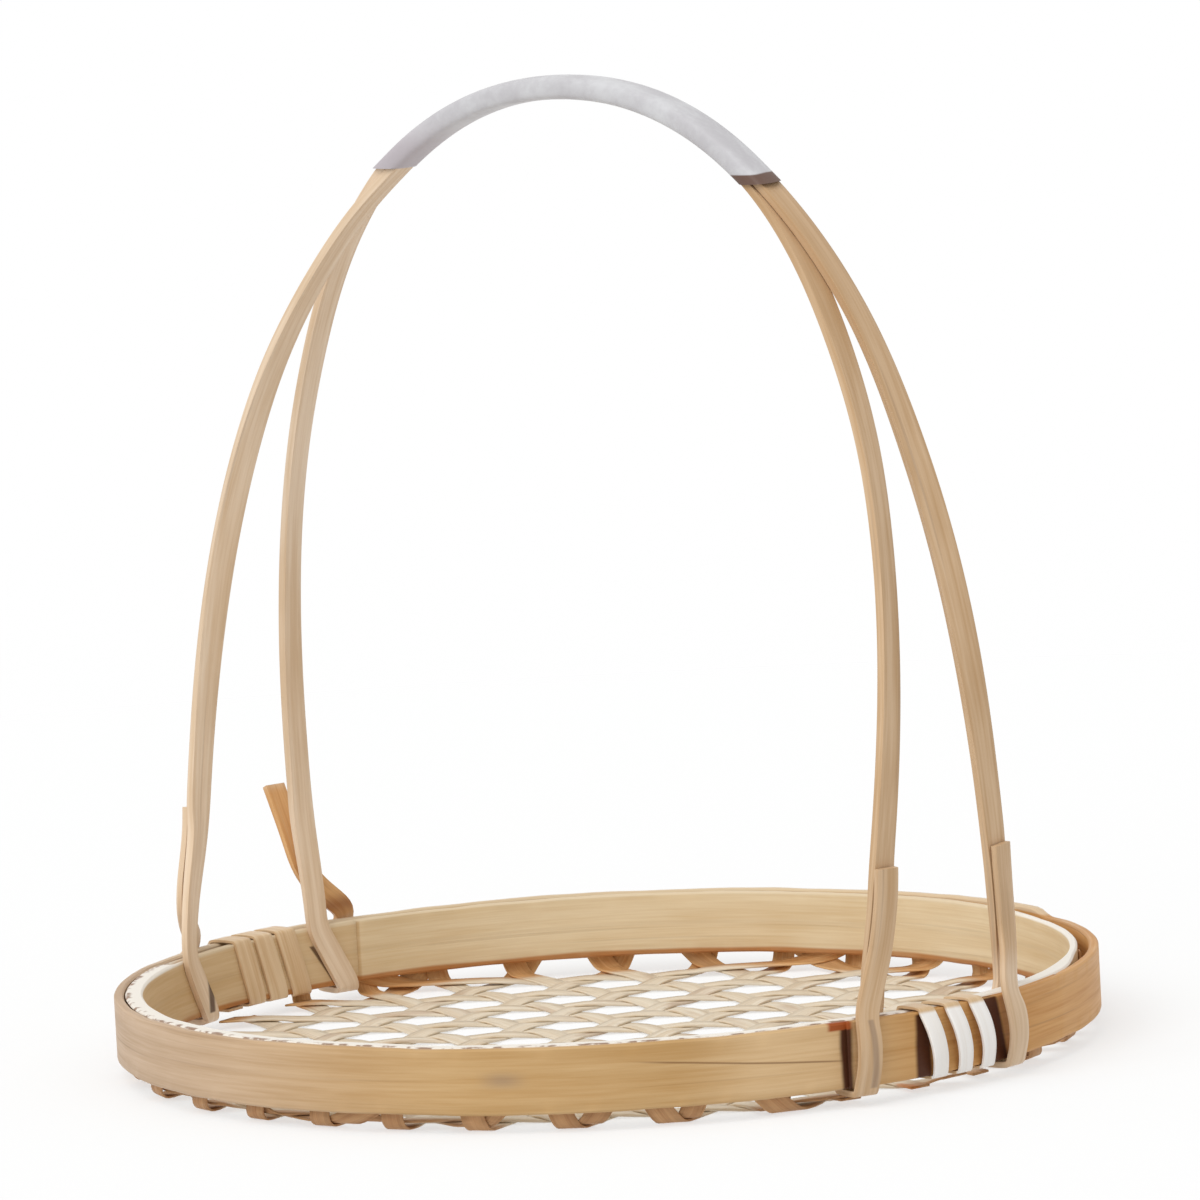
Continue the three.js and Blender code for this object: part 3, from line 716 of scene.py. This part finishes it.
class TRAY_OT_hoops(bpy.types.Operator):
    """Makes the two bent hoops, with wavy planed edges and lapped ends"""
    bl_idname = "tray.hoops"
    bl_label = "Hoops"

    def execute(self, context):
        settings = context.scene.tray_hoops
        finishes = {"outer_hoop": self.outer_finish, "inner_hoop": self.inner_finish}
        shapes = {"outer_hoop": self.stepped, "inner_hoop": self.flared}
        for index, node in enumerate(HOOPS):
            name = node.replace("_hoop", "_rim_hoop")
            piece = strip_copy(node, name, HOOP_CORNERS, index * HOOP_SPACING)[0]
            applied(piece, "SUBSURF", levels=2, render_levels=2)
            weighted_group(piece, "edges", lambda place: abs(self.level(place)) ** HOOP_EDGE_POWER)
            wavy(piece, settings.wave, settings.wave_size, "Z", "edges")
            reshaped(piece, lambda place: shapes[node](place, settings))
            applied(piece, "BEVEL", width=settings.edge, segments=2, limit_method="ANGLE",
                    angle_limit=HOOP_EDGE_TURN, harden_normals=True)
            bpy.ops.object.shade_smooth_by_angle(angle=SHADED_EDGE_TURN)
            hand_over(piece, node, finishes[node](settings))
        return {"FINISHED"}

    def level(self, place):
        """The height of a place on a hoop, from -1 at its foot to 1 at its top."""
        return (place.z - (RIM_TOP + RIM_FOOT) / 2) / ((RIM_TOP - RIM_FOOT) / 2)

    def stepped(self, place, settings):
        """A place on the outer hoop, whose top has a low step at the back right."""
        beyond = degrees(atan2(place.y, place.x)) - STEP_ANGLE
        step = settings.step_up + settings.step_down
        rise = step_between(beyond, -STEP_SOFT, STEP_SOFT) * step - settings.step_down
        weight = max(self.level(place), 0) ** HOOP_EDGE_POWER * exp(-abs(beyond) / STEP_FADE)
        return Vector((place.x, place.y, place.z + rise * weight))

    def flared(self, place, settings):
        """A place on the inner hoop, whose top spreads outwards at the left and the front."""
        angle = degrees(atan2(place.y, place.x)) % 360
        angle += 360 if angle < FLARE_TO - 360 else 0
        share = step_between(angle, FLARE_FROM - FLARE_FADE_IN, FLARE_FROM)
        share *= 1 - step_between(angle, FLARE_TO - FLARE_FADE_OUT, FLARE_TO)
        radius = hypot(place.x, place.y)
        at_top = place.z > RIM_TOP - FLARE_DEPTH * MILLIMETRE
        outside = radius > (INNER_HOOP_INSIDE + INNER_HOOP_OUTSIDE) / 2 * MILLIMETRE
        if not (at_top and outside):
            return place
        size = min(1 + settings.flare * share / radius, max(FLARE_LIMIT * MILLIMETRE / radius, 1))
        return Vector((place.x * size, place.y * size, place.z))

    def top_band(self, finish, height, band):
        """1 at the rim's top and 0 below a band under it."""
        low, high = (RIM_TOP / MILLIMETRE - below for below in band)
        return finish.between(height, low, high)

    def outer_finish(self, settings):
        """Bamboo that is paler at the left and more orange at the right, with painted shadows beside the
        right feet and the binding, and a red mark by a foot.
        """
        finish = Bamboo("outer hoop bamboo", 0.5, 1500, 330, 0.18)
        finish.grained(settings.light, settings.dark)
        finish.grained(settings.left_light, settings.left_dark,
                       1 - finish.between(finish.across, *PALE_LEFT))
        finish.grained(settings.right_light, settings.right_dark,
                       finish.between(finish.across, *ORANGE_RIGHT))
        pale = finish.window(finish.across, *PALE_MIDDLE)
        finish.grained(settings.pale_light, settings.pale_dark, pale * 0.8)
        finish.veined(0.25, settings.line)
        sunk = finish.z + (finish.angle - LONG_LINE_MIDDLE) * LONG_LINE_SINK
        start, end, bottom, top, share = LONG_LINE
        soft_end, soft_side = LONG_LINE_SOFT
        line = finish.window(finish.angle, start, end, soft_end)
        line *= finish.window(sunk + finish.wander(0.6), bottom, top, soft_side)
        finish.marked(line * share, settings.line)
        middle, half_angle, level, half_height, share = SMUDGE
        smudged = finish.window(finish.angle, middle - half_angle, middle + half_angle, half_angle)
        smudged *= finish.window(finish.z, level - half_height, level + half_height, half_height)
        finish.marked(smudged * share, settings.smudge)
        edge = self.top_band(finish, finish.z, TOP_EDGE)
        finish.marked(edge * finish.window(finish.turned, *BACK) * 0.75, settings.back_edge)
        # Painted shadows in the gaps beside the near right foot's loop and the right binding
        for place in OUTER_HOOP_PAINTED_SHADOWS:
            finish.marked(finish.mark(place), settings.stain)
        finish.marked(finish.mark(OUTER_HOOP_RED), settings.red)
        return finish.painted()

    def inner_finish(self, settings):
        """Pale bamboo with a white cut edge along its top and a painted orange-brown shade along its
        foot.
        """
        finish = Bamboo("inner hoop bamboo", 0.6, 1500, 260, 0.22)
        finish.grained(settings.inner_light, settings.inner_dark)
        lap = 1 - finish.between(finish.across, *LAP_END)
        lap *= finish.window(finish.turned, *LAP_BACK)
        finish.grained(settings.light, settings.dark, lap * 0.55)
        finish.veined(0.12, settings.line)
        seam = finish.window(finish.z + finish.wander(1.2), *SEAM)
        finish.marked(seam * 0.07, settings.smudge)
        # A painted contact shadow beside the far left foot's loop
        finish.marked(finish.mark(INNER_HOOP_PAINTED_SHADOW), settings.stain)
        ragged = (finish.streak - 0.5) * 1.2
        cut = self.top_band(finish, finish.z + ragged, CUT_EDGE)
        back = finish.window(finish.turned, *INNER_BACK)
        finish.marked(cut * (0.92 - back * 0.92), settings.cut)
        finish.marked(cut * back * 0.8, settings.back_edge)
        # Painted shade along the inner hoop's foot where it meets the weave, broken into patches
        foot = 1 - finish.between(finish.z + finish.wander(1.6), *FOOT_TOP)
        foot *= finish.window(finish.turned, *FOOT_BACK)
        broken = finish.between(finish.patch, 0.3, 0.42)
        finish.marked(foot * broken * 0.85, settings.foot)
        speck = finish.noise(finish.scaled(finish.place, 330, 330, 330), 2.0)
        low, high = (INNER_HOOP_OUTSIDE + beyond for beyond in FLECK_BAND)
        flecks = finish.between(finish.radius + (speck - 0.5) * 3, low, high)
        flecks *= finish.window(finish.turned, *FLECKED)
        finish.marked(flecks * finish.between(speck, 0.44, 0.62) * 0.8, settings.fleck)
        return finish.painted()


class TRAY_OT_weave(bpy.types.Operator):
    """Makes the strips of the woven base, each passing over and under the others"""
    bl_idname = "tray.weave"
    bl_label = "Woven base"

    def execute(self, context):
        settings = context.scene.tray_weave
        material = self.finish(settings)
        for index, node in enumerate(WEAVE):
            name = node.replace("weave", "woven_strip")
            piece = strip_copy(node, name, STRIP_CORNERS, index * WEAVE_SPACING)[0]
            smoothed(piece, 1, settings.edge, 1)
            hand_over(piece, node, material)
        return {"FINISHED"}

    def finish(self, settings):
        """Pale bamboo with brown blotches, and a painted shade, darker and more orange, where it turns up
        under the hoops at the rim.
        """
        finish = Bamboo("woven bamboo", 0.6, 1900, 500, 0.2)
        finish.grained(settings.light, settings.dark)
        # Painted shade where the weave turns up under the hoops, paler at the back
        turned = finish.between(finish.radius + finish.wander(5), *WEAVE_TURN_UP)
        finish.grained(settings.turned_light, settings.turned_dark, turned * 0.85)
        back = finish.window(finish.turned, *WEAVE_BACK)
        finish.grained(settings.back_light, settings.back_dark, turned * back * 0.85)
        finish.veined(0.2, settings.turned_dark)
        finish.marked(finish.between(finish.patch, 0.56, 0.68) * 0.45, settings.blotch)
        at_edge = finish.between(finish.radius, *WEAVE_EDGE)
        finish.marked(finish.mark(FOOT_ORANGE, at_edge), settings.orange)
        return finish.painted()


class TRAY_OT_handle(bpy.types.Operator):
    """Makes the handle's two strips, with their looped feet and tails"""
    bl_idname = "tray.handle"
    bl_label = "Handle strips"

    def execute(self, context):
        settings = context.scene.tray_handle
        pieces = []
        tail_starts = []
        for index, node in enumerate(HANDLE):
            name = node.replace("handle_strip", "handle_bow")
            offset = index * HANDLE_SPACING
            piece, middles = strip_copy(node, name, STRIP_CORNERS, offset)
            smoothed(piece, 2, settings.edge, 3)
            pieces.append(piece)
            total = sum((after - before).length for before, after in zip(middles, middles[1:]))
            tail_starts.append(offset if middles[0].x < 0 else offset + total - settings.tail)
        material = self.finish(settings, tail_starts[HANDLE.index(ORANGE_TAILED)])
        for piece, node in zip(pieces, HANDLE):
            hand_over(piece, node, material)
        return {"FINISHED"}

    def finish(self, settings, tail_start):
        """Bamboo that is paler at the left, with marks and painted shade at the feet and one orange tail.
        """
        finish = Bamboo("handle bamboo", 0.45, 1300, 420, 0.17)
        finish.grained(settings.light, settings.dark)
        finish.grained(settings.left_light, settings.left_dark,
                       1 - finish.between(finish.x, *HANDLE_CHANGE))
        pale_loop = finish.between(finish.angle, *PALE_LOOP_ANGLES) * finish.between(finish.x, *PALE_LOOP)
        pale_loop *= 1 - finish.between(finish.z, *PALE_LOOP_TOP)
        finish.grained(settings.left_light, settings.left_dark, pale_loop * 0.75)
        under_grip = finish.between(finish.x, *UNDER_GRIP) * finish.between(finish.z, *UNDER_GRIP_HEIGHTS)
        finish.marked(under_grip * 0.4, settings.dark)
        tail = finish.window(finish.run, tail_start, tail_start + settings.tail, 3 * MILLIMETRE)
        finish.grained(settings.tail_light, settings.tail_dark, tail * 0.9)
        finish.veined(0.2, settings.smudge)
        outside = finish.between(finish.radius, HOOP_FACE, HOOP_FACE + 0.2)
        inside = 1 - finish.between(finish.radius, INNER_HOOP_INSIDE, INNER_HOOP_INSIDE + 0.3)
        # The painted shade of a groove along the near right foot's loop
        finish.marked(finish.mark(LOOP_GROOVE_SHADE, outside), settings.smudge)
        # A painted shadow on the inside pass of the near left foot's loop
        finish.marked(finish.mark(FOOT_PAINTED_SHADOW, inside), settings.stain)
        # The painted red-brown shade low on the orange tail
        bottom, top, soft, share = TAIL_PAINTED_SHADE
        finish.marked(tail * finish.window(finish.z, bottom, top, soft) * share, settings.red)
        return finish.painted()


class TRAY_OT_grip(bpy.types.Operator):
    """Wraps the smooth pale tape round the stacked strips of the grip"""
    bl_idname = "tray.grip"
    bl_label = "Grip"

    def execute(self, context):
        settings = context.scene.tray_grip
        low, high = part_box(GRIP)
        path = []
        for near, far in zip(*(self.stretch(path_of(node), low, high) for node in HANDLE)):
            path.append((near + far) / 2)
        if len(path) < GRIP_FEWEST_RINGS:
            raise RuntimeError("the grip's stretch of the handle strips was not found")
        outer = self.rings(path, settings, 0)
        inner = self.rings(path, settings, settings.wall)
        piece = self.sleeve(outer, inner)
        applied(piece, "SUBSURF", levels=2, render_levels=2)
        only(piece)
        bpy.ops.object.shade_smooth_by_angle(angle=GRIP_SHADED_TURN)
        hand_over(piece, GRIP, self.finish(settings))
        return {"FINISHED"}

    def stretch(self, middles, low, high):
        """The middles that lie in the grip's stretch of the arch."""
        return [place for place in middles if low.x < place.x < high.x and place.z > low.z]

    def rings(self, path, settings, wall):
        """Rings of eight corners along the arch. The first is cut level, the last nearly so."""
        half_width = settings.width / 2 - wall
        half_height = settings.height / 2 - wall
        edge = max(settings.edge - wall, 0.2 * MILLIMETRE)
        section = [(sign_w * (half_width - cut_w), sign_h * (half_height - cut_h))
                   for sign_w, sign_h, cut_w, cut_h in (
                       (-1, -1, edge, 0), (1, -1, edge, 0), (1, -1, 0, edge), (1, 1, 0, edge),
                       (1, 1, edge, 0), (-1, 1, edge, 0), (-1, 1, 0, edge), (-1, -1, 0, edge))]
        rings = []
        last = len(path) - 1
        for index, place in enumerate(path):
            ahead = (path[min(index + 1, last)] - path[max(index - 1, 0)]).normalized()
            out = Vector((-ahead.z, 0, ahead.x))
            ring = [place + Vector((0, across, 0)) + out * height for across, height in section]
            if index in (0, last):
                level = settings.left_end if index == 0 else settings.right_end
                slope = settings.right_slope if index == last else 0
                turn = radians(VIEW_TURN)
                cut = Vector((-cos(turn) * slope, -sin(turn) * slope, 1))
                middle = place + ahead * ((level - place.z) / ahead.z)
                ring = [corner + ahead * (cut.dot(middle - corner) / cut.dot(ahead)) for corner in ring]
            rings.append(ring)
        return rings

    def sleeve(self, outer, inner):
        """A closed tube with a wall between its outer and inner rings."""
        corners = len(outer[0])
        places = [corner for ring in (*outer, *inner[::-1]) for corner in ring]
        count = len(outer) * 2
        faces = []
        for ring in range(count):
            for corner in range(corners):
                here, there = ring * corners, (ring + 1) % count * corners
                beside = (corner + 1) % corners
                faces.append((here + corner, here + beside, there + beside, there + corner))
        mesh = bpy.data.meshes.new("grip_tape")
        mesh.from_pydata(places, [], faces)
        piece = bpy.data.objects.new("grip_tape", mesh)
        bpy.context.collection.objects.link(piece)
        edit(piece)
        ends = {0, len(outer) - 1, len(outer), count - 1}

        def round_an_end(edge):
            first, second = (vertex.index // corners for vertex in edge.verts)
            return first == second and first in ends

        select_edges(piece, round_an_end)
        bpy.ops.transform.edge_crease(value=1)
        bpy.ops.mesh.select_all(action="SELECT")
        bpy.ops.mesh.normals_make_consistent(inside=False)
        done()
        return piece

    def finish(self, settings):
        """Smooth pale tape with a soft mottle, a few spots and a painted brown shadow at its right end.
        """
        finish = Finish("grip tape", 0.42)
        scuff = finish.noise(finish.scaled(finish.place, 500, 900, 500), 3.0, 0.6)
        cloud = finish.noise(finish.scaled(finish.place, 60, 120, 60), 2.0)
        mottle = finish.between(cloud * 0.7 + scuff * 0.3, 0.35, 0.65)
        tone = finish.mix(mottle, settings.dark, settings.light)
        low = 1 - finish.between(finish.x, *GRIP_LOW)
        low *= 1 - finish.between(finish.z, *GRIP_LOW_TOP)
        tone = finish.mix(low * 0.8, tone, settings.low)
        spot = finish.between(finish.noise(finish.scaled(finish.place, 90, 90, 90), 0.0), 0.8, 0.83)
        tone = finish.mix(spot * 0.6, tone, settings.brown)
        # A painted brown shadow along the tape's right end
        shadow_band_top = (settings.right_end + settings.end_shadow_band) / MILLIMETRE
        risen = finish.z - (finish.across - GRIP_END_ACROSS) * settings.right_slope
        band = 1 - finish.between(risen + (cloud - 0.5), shadow_band_top - 0.2, shadow_band_top + 0.2)
        band *= finish.between(finish.x, -1, 1)
        finish.set("Base Color", finish.mix(band * 0.92, tone, settings.brown))
        finish.set("Roughness", 0.42 + (scuff - 0.5) * 0.2)
        finish.relief(scuff * 0.4 + cloud * 0.6, 0.08 * MILLIMETRE, 0.4)
        return finish.material


class TRAY_OT_bindings(bpy.types.Operator):
    """Makes the two short windings that bind the hoops together"""
    bl_idname = "tray.bindings"
    bl_label = "Rim bindings"

    def execute(self, context):
        settings = context.scene.tray_bindings
        material = self.finish(settings)
        for index, node in enumerate(BINDINGS):
            name = node.replace("binding", "winding")
            piece = strip_copy(node, name, STRIP_CORNERS, index * BINDING_SPACING)[0]
            smoothed(piece, 2, settings.edge, 2)
            hand_over(piece, node, material)
        return {"FINISHED"}

    def finish(self, settings):
        """Cane that is white outside the rim and browner elsewhere."""
        finish = Bamboo("binding cane", 0.4, 1900, 520, 0.2)
        finish.grained(settings.light, settings.dark)
        outside = finish.between(finish.radius, HOOP_FACE - 0.4, HOOP_FACE + 0.1)
        below_top = 1 - finish.between(finish.z + finish.wander(1), *BINDING_TOP)
        finish.grained(settings.white, settings.cream, outside * below_top)
        return finish.painted()


class TRAY_OT_stage(bpy.types.Operator):
    """Sets up the floor, the light and the camera"""
    bl_idname = "tray.stage"
    bl_label = "Stage"

    def execute(self, context):
        settings = context.scene.tray_stage
        self.add_camera(context.scene, settings)
        self.add_floor(settings)
        self.add_light(context.scene, settings)
        context.scene.view_settings.view_transform = "Standard"
        return {"FINISHED"}

    def add_camera(self, scene, settings):
        """A camera that sees the tray as the photo does."""
        turn, rise, roll = settings.turn, settings.rise, settings.roll
        back = Vector((sin(turn) * cos(rise), -cos(turn) * cos(rise), sin(rise)))
        side = Vector((cos(turn), sin(turn), 0))
        up = side * sin(roll) + back.cross(side) * cos(roll)
        bpy.ops.object.camera_add(location=back * settings.distance)
        camera = bpy.context.active_object
        camera.name = "camera"
        backward = (camera.location - Vector(settings.aim)).normalized()
        right = up.cross(backward).normalized()
        upward = backward.cross(right)
        camera.rotation_euler = Matrix((right, upward, backward)).transposed().to_euler()
        camera.data.lens = settings.lens
        camera.data.clip_end = CLIP_END
        scene.camera = camera

    def add_floor(self, settings):
        """A clear floor that shows a share of the tray's shadow and fades out."""
        bpy.ops.object.select_all(action="DESELECT")
        bpy.ops.mesh.primitive_circle_add(vertices=96, radius=settings.floor_size, fill_type="NGON")
        floor = bpy.context.active_object
        floor.name = "floor"
        material = bpy.data.materials.new("floor")
        tree = Tree(material)
        tree.nodes.remove(tree.nodes["Principled BSDF"])
        away = tree.length(tree.node("ShaderNodeTexCoord", {}, {}, "Object"))
        near, far = (share * settings.floor_size for share in FLOOR_FADE)
        clear_share = 1 - (1 - tree.between(away, near, far)) * settings.shade
        clear = tree.node("ShaderNodeBsdfTransparent", {}, {})
        paint = tree.node("ShaderNodeBsdfDiffuse", {}, {"Color": FLOOR_WHITE})
        both = tree.node("ShaderNodeMixShader", {}, {0: clear_share, 1: paint, 2: clear})
        tree.feed(tree.nodes["Material Output"].inputs["Surface"], both)
        floor.data.materials.append(material)

    def add_light(self, scene, settings):
        """A wide soft lamp, and a world that is white to the camera and dimmer as light."""
        bpy.ops.object.light_add(type="SUN", rotation=(settings.lamp_tilt, 0, settings.lamp_turn))
        lamp = bpy.context.active_object
        lamp.name = "soft lamp"
        lamp.data.energy = settings.lamp
        lamp.data.angle = settings.lamp_angle
        scene.world = bpy.data.worlds.new("studio")
        tree = Tree(scene.world)
        camera, glossy, through = (tree.node("ShaderNodeLightPath", {}, {}, f"Is {kind} Ray")
                                   for kind in ("Camera", "Glossy", "Transmission"))
        seen = tree.maths("MAXIMUM", tree.maths("MAXIMUM", camera, glossy), through)
        sky = tree.nodes["Background"]
        sky.inputs["Color"].default_value = (1, 1, 1, 1)
        tree.feed(sky.inputs["Strength"], settings.sky + seen * (1 - settings.sky))


class TRAY_PT_pieces(bpy.types.Panel):
    """Lists the tray's pieces and their settings"""
    bl_idname = "TRAY_PT_pieces"
    bl_label = "Bamboo Tray"
    bl_space_type = "VIEW_3D"
    bl_region_type = "UI"
    bl_category = "Bamboo Tray"

    def draw(self, context):
        for operator, name, group in STEPS:
            box = self.layout.box()
            box.operator(operator.bl_idname)
            for setting in group.__annotations__:
                box.prop(getattr(context.scene, name), setting)


STEPS = (
    (TRAY_OT_stage, "tray_stage", StageSettings),
    (TRAY_OT_hoops, "tray_hoops", HoopSettings),
    (TRAY_OT_weave, "tray_weave", WeaveSettings),
    (TRAY_OT_handle, "tray_handle", HandleSettings),
    (TRAY_OT_grip, "tray_grip", GripSettings),
    (TRAY_OT_bindings, "tray_bindings", BindingSettings),
)
CLASSES = (*(group for _, _, group in STEPS), *(operator for operator, _, _ in STEPS), TRAY_PT_pieces)


def register():
    for made in CLASSES:
        bpy.utils.register_class(made)
    for _, name, group in STEPS:
        setattr(bpy.types.Scene, name, PointerProperty(type=group))


def unregister():
    for _, name, _ in STEPS:
        delattr(bpy.types.Scene, name)
    for made in reversed(CLASSES):
        bpy.utils.unregister_class(made)


def main():
    """Makes the stage and then the pieces."""
    register()
    for operator, _, _ in STEPS:
        category, name = operator.bl_idname.split(".")
        getattr(getattr(bpy.ops, category), name)()


if __name__ == "__main__":
    main()
